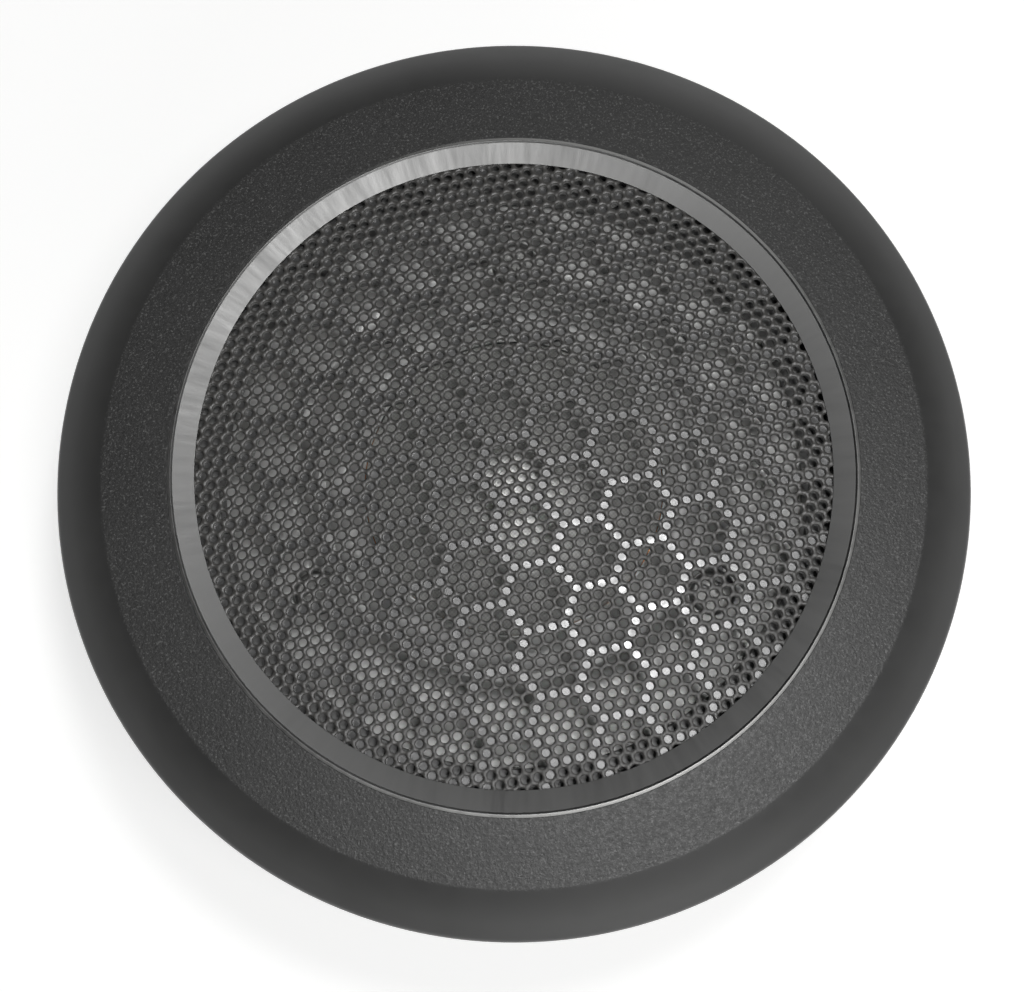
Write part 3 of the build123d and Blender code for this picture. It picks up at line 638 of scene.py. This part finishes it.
def peg(floor_r):
    """Heat-staked peg that holds a spring in its pocket: a stem and a domed head, along X."""
    sides, centre_z = 24, -7.4
    turns = [math.tau * k / sides for k in range(sides)]
    stem_r, stem_root = 1.0, floor_r - 0.2
    head_r, head_edge = 1.55, 0.3
    under_head, head_side, head_top = floor_r + 0.26, floor_r + 0.38, floor_r + 0.45
    levels = [(stem_root, stem_r), (under_head, stem_r), (under_head, head_r)]
    levels += [(head_side, head_r), (head_top, head_r - head_edge)]
    rims = [[(x, r * math.cos(t), centre_z + r * math.sin(t)) for t in turns] for x, r in levels]
    points = [p for rim in rims for p in rim]
    n = len(turns)
    faces = [tuple(range(n))[::-1], tuple(range(len(points) - n, len(points)))]
    for start in range(0, len(points) - n, n):
        for k in range(n):
            after = (k + 1) % n
            faces.append((start + k, start + after, start + n + after, start + n + k))
    return points, faces


def trim_ring():
    """Ring whose facet falls from a bead at the ridge to the grille, with a skirt round the plate."""
    skirt_r, foot_z = GRILLE_R + 0.05, LEDGE_Z
    facet_z = GRILLE_Z + 0.08
    corners = [
        (FIELD_R, GRILLE_Z, 0.0),
        (FIELD_R, facet_z, 0.03),
        (BEAD_R, RIDGE_Z - 0.075, 0.04),
        (CREST_R, RIDGE_Z + 0.006, 0.1),
        (RING_SEAT_R, BEZEL_LIP_Z, 0.02),
        (RING_SEAT_R, foot_z, 0.0),
        (skirt_r, foot_z, 0.0),
        (skirt_r, GRILLE_Z, 0.0),
    ]
    mesh = turned("trim_ring_satin", softened(corners, 6), 360)
    return weighted(finish_piece("trim_ring_satin", mesh, "trim_ring", LOOKS["satin_trim"]))


def lattice():
    """Hole centres by their row numbers, as on the CAD grille."""
    turns = [math.radians(LATTICE_TURN), math.radians(LATTICE_TURN - 60)]
    (ax, ay), (bx, by) = [(PITCH * math.cos(t), PITCH * math.sin(t)) for t in turns]
    limit = GRILLE_R - HOLE_R - HOLE_MARGIN
    reach = math.ceil(2 * limit / PITCH)
    places = {}
    for u in range(-reach, reach + 1):
        for v in range(-reach, reach + 1):
            x = LATTICE_CENTRE[0] + u * ax + v * bx
            y = LATTICE_CENTRE[1] + u * ay + v * by
            if math.hypot(x, y) <= limit:
                places[u, v] = (x, y)
    return places


def grille_plate():
    """Perforated sheet: a chamfered hole at each lattice point, joined by faces between the holes."""
    places = lattice()
    top, bottom = GRILLE_Z, GRILLE[0].z
    levels = [(HOLE_R + HOLE_CHAMFER, top), (HOLE_R, top - HOLE_CHAMFER), (HOLE_R, bottom)]
    spokes = [math.radians(LATTICE_TURN) + math.tau * k / HOLE_SIDES for k in range(HOLE_SIDES)]
    points, first = [], {}
    for key, (x, y) in places.items():
        first[key] = len(points)
        for r, z in levels:
            points += [(x + r * math.cos(s), y + r * math.sin(s), z) for s in spokes]
    front, back = 0, 2 * HOLE_SIDES
    faces = []
    for start in first.values():
        for level in (0, HOLE_SIDES):
            for k in range(HOLE_SIDES):
                after = (k + 1) % HOLE_SIDES
                faces.append((start + level + k, start + level + after,
                              start + level + HOLE_SIDES + after, start + level + HOLE_SIDES + k))

    def web(corners):
        """Fills the gap between three holes. A corner is (hole, its first, middle and last spoke)."""
        for side, flip in ((front, False), (back, True)):
            polygons = [tuple(first[hole] + side + middle for hole, _, middle, _ in corners)]
            for (hole, _, middle, last), (other, start, far, _) in zip(corners, corners[1:] + corners[:1]):
                polygons.append((first[hole] + side + middle, first[hole] + side + last,
                                 first[other] + side + start, first[other] + side + far))
            faces.extend(tuple(reversed(p)) if flip else p for p in polygons)

    for u, v in places:
        right, up, down = (u + 1, v), (u + 1, v - 1), (u, v + 1)
        if right in places and up in places:
            web([((u, v), 2, 1, 0), (right, 6, 5, 4), (up, 10, 9, 8)])
        if right in places and down in places:
            web([((u, v), 0, 11, 10), (down, 4, 3, 2), (right, 8, 7, 6)])

    work = bmesh.new()
    verts = [work.verts.new((x * MM, y * MM, z * MM)) for x, y, z in points]
    for polygon in faces:
        work.faces.new([verts[k] for k in polygon])
    rings = []
    turns = [math.tau * k / ROUND for k in range(ROUND)]
    rim_r = GRILLE_R * MM
    for z in (top, bottom):
        circle = [work.verts.new((rim_r * math.cos(t), rim_r * math.sin(t), z * MM)) for t in turns]
        edges = [work.edges.new((circle[k], circle[k - 1])) for k in range(ROUND)]
        at_level = [e for e in work.edges if all(abs(v.co.z - z * MM) < 1e-7 for v in e.verts)]
        open_edges = [e for e in at_level if len(e.link_faces) == 1]
        bmesh.ops.triangle_fill(work, use_beauty=True, edges=edges + open_edges)
        rings.append(circle)
    for k in range(ROUND):
        work.faces.new((rings[0][k - 1], rings[0][k], rings[1][k], rings[1][k - 1]))
    bmesh.ops.recalc_face_normals(work, faces=work.faces)
    for face in work.faces:
        face.smooth = abs(face.normal.z) < 0.99
    mesh = bpy.data.meshes.new("grille_plate")
    work.to_mesh(mesh)
    work.free()
    return finish_piece("grille_plate", mesh, "grille", LOOKS["grille_coat"], sharp=50.0)


def dome_cap():
    """Thin spherical cap, finely divided."""
    film, height = 0.25, DOME[1].z - DOME[0].z
    base_z, base_r = DOME[0].z, DOME[1].x
    sphere_r = (base_r**2 + height**2) / (2 * height)
    centre_z = DOME[1].z - sphere_r
    steps = 24

    def cap(radius):
        widest = math.acos((base_z - centre_z) / radius)
        turns = [widest * k / steps for k in range(steps + 1)]
        return [(radius * math.sin(t), centre_z + radius * math.cos(t)) for t in turns]

    section = cap(sphere_r) + cap(sphere_r - film)[::-1]
    mesh = turned("dome_cap", section, 144)
    return finish_piece("dome_cap", mesh, "dome", LOOKS["dome_film"], "diaphragm")


def surround_roll():
    """Half-roll surround with its two flat flanges."""
    film = 0.25
    base, inner_r, outer_r = SURROUND[0].z, DOME[1].x + 0.1, SURROUND[1].x
    roll_r, centre = 1.3, ROLL_CENTRE
    steps = 16

    def half_roll(radius, lift):
        start = math.asin(lift / radius)
        turns = [start + (math.pi - 2 * start) * k / steps for k in range(steps + 1)]
        return [(centre + radius * math.cos(t), base + radius * math.sin(t)) for t in turns]

    under = [(inner_r, base)] + half_roll(roll_r, 0.0)[::-1] + [(outer_r, base)]
    over = [(outer_r, base + film)] + half_roll(roll_r + film, film) + [(inner_r, base + film)]
    mesh = turned("surround_roll", under + over, 144)
    return finish_piece("surround_roll", mesh, "surround", LOOKS["surround_film"])


def lead_outs():
    """The coil's two flexible leads, which bend where they rise from the moving coil."""
    wire_r, bend_r, sides = 0.12, 0.3, 12
    low, high = limits("coil_lead_outs")
    tab_low, tab_high = limits("solder_tabs")
    over_plate_z = limits("top_plate")[1].z + 0.5
    tab_z = (tab_low.z + tab_high.z) / 2
    start_r = DOME[1].x + 0.2
    corners = [(start_r, low.z, 0), (start_r, over_plate_z, bend_r), (ROLL_CENTRE, over_plate_z, bend_r)]
    corners += [(ROLL_CENTRE + 0.8, tab_z, bend_r), (high.x, tab_z, 0)]
    path = [Vector(place) for place in softened(corners)]

    points, faces = [], []
    for k, middle in enumerate(path):
        along = (path[min(k + 1, len(path) - 1)] - path[max(k - 1, 0)]).normalized()
        for side in range(sides):
            turn = math.tau * side / sides
            out = middle + Vector((-along.y, along.x)) * wire_r * math.cos(turn)
            points.append((out.x, wire_r * math.sin(turn), out.y))
    for first in range(0, len(points) - sides, sides):
        for side in range(sides):
            after = (side + 1) % sides
            faces.append((first + side, first + after, first + sides + after, first + sides + side))
    faces += [tuple(range(sides)), tuple(range(len(points) - sides, len(points)))]
    mesh = joined("lead_outs", round_the_axis((points, faces), 0, 2))
    piece = finish_piece("lead_outs", mesh, "coil_lead_outs", LOOKS["copper"], body=None)
    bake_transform(piece)
    return piece


def faceplate():
    """Flat front of the driver with a rounded throat, a skirt round the motor and screw seats."""
    low, high = FACEPLATE[0].z, FACEPLATE[1].z
    under_z, skirt_in_r, skirt_out_r = high - 2.85, 20.6, 22.4
    lip_in_r, lip_out_r, lip_depth = 16.6, 18.6, 2.2
    seat_r, seat_depth, stem_r, rim_hole_r = 1.95, 1.1, 1.35, 1.2
    notch_half, notch_z = 1.6, -5.4  # for the solder tabs
    steps = 10
    throat = []
    for k in range(steps + 1):
        turn = math.pi / 2 * k / steps
        r = lip_in_r + (lip_out_r - lip_in_r) * (1 - math.sin(turn))
        throat.append((r, high - lip_depth * (1 - math.cos(turn)), 0.0))
    corners = [
        (lip_in_r, under_z, 0.1),
        (skirt_in_r, under_z, 0.1),
        (skirt_in_r, low, 0.1),
        (skirt_out_r, low, 0.1),
        (skirt_out_r, under_z, 0.1),
        (FACEPLATE[1].x, under_z, 0.15),
        (FACEPLATE[1].x, high, 0.15),
    ]
    mesh = turned("driver_front", softened(corners + throat))
    past = 1.0
    seat = disc(FACEPLATE_SCREW_PITCH_R, 0, high - seat_depth, high + past, seat_r, sides=48)
    stem = disc(FACEPLATE_SCREW_PITCH_R, 0, under_z - past, high + past, stem_r)
    rim_hole = disc(DRIVER_SCREW_PITCH_R, 0, under_z - past, high + past, rim_hole_r)
    notch_reach = (skirt_in_r - past, skirt_out_r + past / 2)
    notch = bar(notch_reach, (-notch_half, notch_half), (notch_z, under_z))
    first_tools = round_the_axis(seat, CLIP_ANGLE) + round_the_axis(rim_hole, SCREW_ANGLE)
    mesh = combined(mesh, "DIFFERENCE", first_tools)
    mesh = combined(mesh, "DIFFERENCE", round_the_axis(stem, CLIP_ANGLE) + round_the_axis(notch, 0, 2))
    return weighted(finish_piece("driver_front", mesh, "faceplate", LOOKS["grey_plastic"]))


# ---- pieces of the rear ----------------------------------------------------------------------------
def rear_housing():
    """Cup behind the driver: a lip inside the barrel, snap hooks and screw bosses."""
    low, high = HOUSING[0].z, HOUSING[1].z
    seam_z = BEZEL[0].z
    corners = [
        (HOUSING_BORE_R, low, 0.1),
        (BARREL_R, low, 0.2),
        (BARREL_R, seam_z, 0.25),
        (LIP_R, seam_z, 0.0),
        (LIP_R, high, 0.15),
        (HOUSING_BORE_R, high, 0.1),
    ]
    mesh = turned("rear_shell", softened(corners))
    root_r, tip_r, hook_low, hook_high, half = LIP_R - 0.3, BARREL_R - 0.3, -8.9, -7.5, 2.4
    side = [(root_r, hook_low), (tip_r, hook_low), (tip_r, hook_low + 0.4), (root_r, hook_high)]
    hook = prism([(x, -half, z) for x, z in side], [(x, half, z) for x, z in side])
    boss_r, boss_top, pilot_r, pilot_depth = 2.6, -19.0, 0.9, 7.0
    boss = disc(COVER_SCREW_PITCH_R, 0, low, boss_top, boss_r)
    pilot = disc(COVER_SCREW_PITCH_R, 0, low - 1, low + pilot_depth, pilot_r)
    mesh = combined(mesh, "UNION", round_the_axis(hook, SCREW_ANGLE) + round_the_axis(boss, CLIP_ANGLE))
    mesh = combined(mesh, "DIFFERENCE", round_the_axis(pilot, CLIP_ANGLE))
    return weighted(finish_piece("rear_shell", mesh, "rear_housing", LOOKS["housing_plastic"]))


def rear_cover():
    """Cover with a recessed two-way socket, countersunk screw holes and polarity marks."""
    back, seat, top = COVER[0].z, -28.4, COVER[1].z
    corners = [
        (0, back, 0),
        (BARREL_R - 0.5, back, 0.25),
        (BARREL_R, back + 0.5, 0.25),
        (BARREL_R, seat, 0.1),
        (0, seat, 0),
    ]
    mesh = turned("cover_plate", softened(corners))
    x, y = SOCKET_X + SOCKET_WALL, SOCKET_Y + SOCKET_WALL
    mesh = combined(mesh, "UNION", [bar((-x, x), (-y, y), (seat - 0.5, top), 0.5)])

    past = 1.0
    mouth = 0.35  # chamfer round the socket's opening
    x, y = SOCKET_X, SOCKET_Y
    flare = [(x + mouth, y + mouth, back - 0.001), (x, y, back + mouth)]
    rims = [[(-a, -b, z), (a, -b, z), (a, b, z), (-a, b, z)] for a, b, z in flare]
    half = KEY_HALF_WIDTH
    mark, mark_in, mark_out, stroke = 0.25, 8.6, 11.4, 0.3  # depth, ends and half width of the polarity marks
    tools = [
        bar((-x, x), (-y, y), (back - past, SOCKET_FLOOR_Z), 0.3),
        prism(*rims),
        bar((-half, half), (y - 0.5, y + KEY_DEPTH), (back - past, back + KEY_LENGTH), 0.15),
        bar((mark_in, mark_out), (-stroke, stroke), (back - past, back + mark)),
        bar((-mark_out, -mark_in), (-stroke, stroke), (back - past, back + mark)),
    ]
    slot_half_x, slot_half_y = 0.43, 1.43  # round each blade
    for blade_x in (-3, 3):
        slot_x = (blade_x - slot_half_x, blade_x + slot_half_x)
        tools.append(bar(slot_x, (-slot_half_y, slot_half_y), (SOCKET_FLOOR_Z - past, top + past)))
    stem_r, head_r, head_depth = 1.15, 2.3, 1.2
    sunk = disc(COVER_SCREW_PITCH_R, 0, back - 0.001, back + head_depth, head_r, stem_r)
    stem = disc(COVER_SCREW_PITCH_R, 0, back + 0.5, seat + past, stem_r)
    tools += round_the_axis(sunk, CLIP_ANGLE) + round_the_axis(stem, CLIP_ANGLE)
    mesh = combined(mesh, "DIFFERENCE", tools)
    plus_x, plus_half = (mark_in + mark_out) / 2, (mark_out - mark_in) / 2
    upright = bar((plus_x - stroke, plus_x + stroke), (-plus_half, plus_half), (back - past, back + mark))
    mesh = combined(mesh, "DIFFERENCE", [upright])
    return weighted(finish_piece("cover_plate", mesh, "rear_cover", LOOKS["housing_plastic"]))


def soft_ring(name, node, inner_r, crown, look):
    """Soft ring whose sides bulge by the crown, between the heights of its CAD node."""
    low, high = limits(node)
    steps = 6
    outside, inside = [], []
    for k in range(steps + 1):
        z = low.z + (high.z - low.z) * k / steps
        swell = crown * (1 - math.sin(math.pi * k / steps))
        outside.append((high.x - swell, z))
        inside.append((inner_r + (swell if inner_r else 0.0), z))
    mesh = turned(name, outside + inside[::-1] if inner_r else outside + [(0.0, high.z), (0.0, low.z)])
    if node == "driver_gasket":
        hole = disc(DRIVER_SCREW_PITCH_R, 0, low.z - 1, high.z + 1, 1.3)
        mesh = combined(mesh, "DIFFERENCE", round_the_axis(hole, SCREW_ANGLE))
    piece = finish_piece(name, mesh, node, LOOKS[look])
    return piece


def soft_rings():
    """The gaskets, the pad under the dome and the felt in the vent."""
    soft_ring("panel_foam", "panel_gasket", GROOVE_IN_R + 0.05, 0.06, "foam")
    soft_ring("cover_foam", "rear_gasket", HOUSING_BORE_R + 0.4, 0.06, "foam")
    soft_ring("driver_foam", "driver_gasket", SHELF_R + 0.2, 0.04, "foam")
    soft_ring("dome_pad", "dome_damping_pad", 3.4, 0.3, "felt")
    soft_ring("vent_pad", "vent_felt", 0.0, 0.15, "felt")


def carry_over():
    """CAD pieces whose shape is right keep it and get their slot's material."""
    for node, piece in frame["nodes"].items():
        piece.data.materials.clear()
        piece.data.materials.append(LOOKS[SLOT_OF[node]])


# ---- light, floor and camera -----------------------------------------------------------------------
def soft_light(name, place, size, power, colour=(1, 1, 1), target=(0, 0, 0)):
    """A round area light at a place in millimetres, turned to the target."""
    data = bpy.data.lights.new(name, "AREA")
    data.shape = "DISK"
    data.size = size * MM
    data.energy = power
    data.color = colour
    lamp = bpy.data.objects.new(name, data)
    lamp.location = Vector(place) * MM
    lamp.rotation_mode = "QUATERNION"
    lamp.rotation_quaternion = (Vector(target) - Vector(place)).to_track_quat("-Z", "Y")
    bpy.context.scene.collection.objects.link(lamp)
    return lamp


def floor():
    """Plain pale floor under the rear face, lit a little from below like a light table."""
    look = Look("floor", (0.8, 0.8, 0.79), 0.7, Emission_Strength=FLOOR_GLOW, Emission_Color=(1, 1, 1, 1))
    look.drive("Normal", look.bump(look.noise(1.5, 3.0), 0.01))
    look.drive("Base Color", look.blend(look.noise(90.0), (0.79, 0.79, 0.78), (0.82, 0.82, 0.81)))
    half = 3000
    corners = [(-half, -half), (half, -half), (half, half), (-half, half)]
    mesh = mesh_from("floor", [(x, y, FLOOR_Z) for x, y in corners], [(0, 1, 2, 3)])
    piece = bpy.data.objects.new("floor", mesh)
    piece.data.materials.append(look.material)
    bpy.context.scene.collection.objects.link(piece)


def surroundings(horizon, overhead):
    """Plain studio walls, brighter at the horizon than overhead."""
    world = bpy.data.worlds.new("studio")
    world.use_nodes = True
    nodes, links = world.node_tree.nodes, world.node_tree.links
    background = nodes["Background"]
    background.inputs["Color"].default_value = (0.97, 0.98, 1.0, 1)
    direction = nodes.new("ShaderNodeTexCoord")
    split = nodes.new("ShaderNodeSeparateXYZ")
    links.new(direction.outputs["Generated"], split.inputs[0])
    fall = nodes.new("ShaderNodeMapRange")
    fall.interpolation_type = "SMOOTHSTEP"
    levels = {"From Min": 0.05, "From Max": 0.45, "To Min": horizon, "To Max": overhead}
    for socket, value in levels.items():
        fall.inputs[socket].default_value = value
    links.new(split.outputs["Z"], fall.inputs["Value"])
    links.new(fall.outputs["Result"], background.inputs["Strength"])
    bpy.context.scene.world = world


def camera():
    """Above the face and a little in front of the axis, tilted back to look at it."""
    data = bpy.data.cameras.new("camera")
    data.lens, data.sensor_width = 58.4, 36.0
    data.clip_start = 0.01
    eye = bpy.data.objects.new("camera", data)
    eye.location = Vector((0.18, -26.8, 133.6)) * MM
    eye.rotation_euler = (math.radians(10.62), math.radians(0.14), 0)
    bpy.context.scene.collection.objects.link(eye)
    bpy.context.scene.camera = eye


carry_over()
bezel()
trim_ring()
grille_plate()
dome_cap()
surround_roll()
lead_outs()
faceplate()
rear_housing()
rear_cover()
soft_rings()

floor()
surroundings(0.67, 0.02)
soft_light("near_lamp", (21, 15, 194), 26, 0.105)
soft_light("high_right", (91.5, -91.5, 483), 160, 0.97)
soft_light("low_front_right", (148.1, -406.9, 250), 420, 0.51)
soft_light("low_front_left", (-148.1, -406.9, 250), 420, 0.05)
soft_light("low_right", (406.9, -148.1, 250), 420, 0.108)
soft_light("low_back", (148.1, 406.9, 250), 420, 0.195)
camera()
bpy.context.scene.view_settings.view_transform = "Standard"
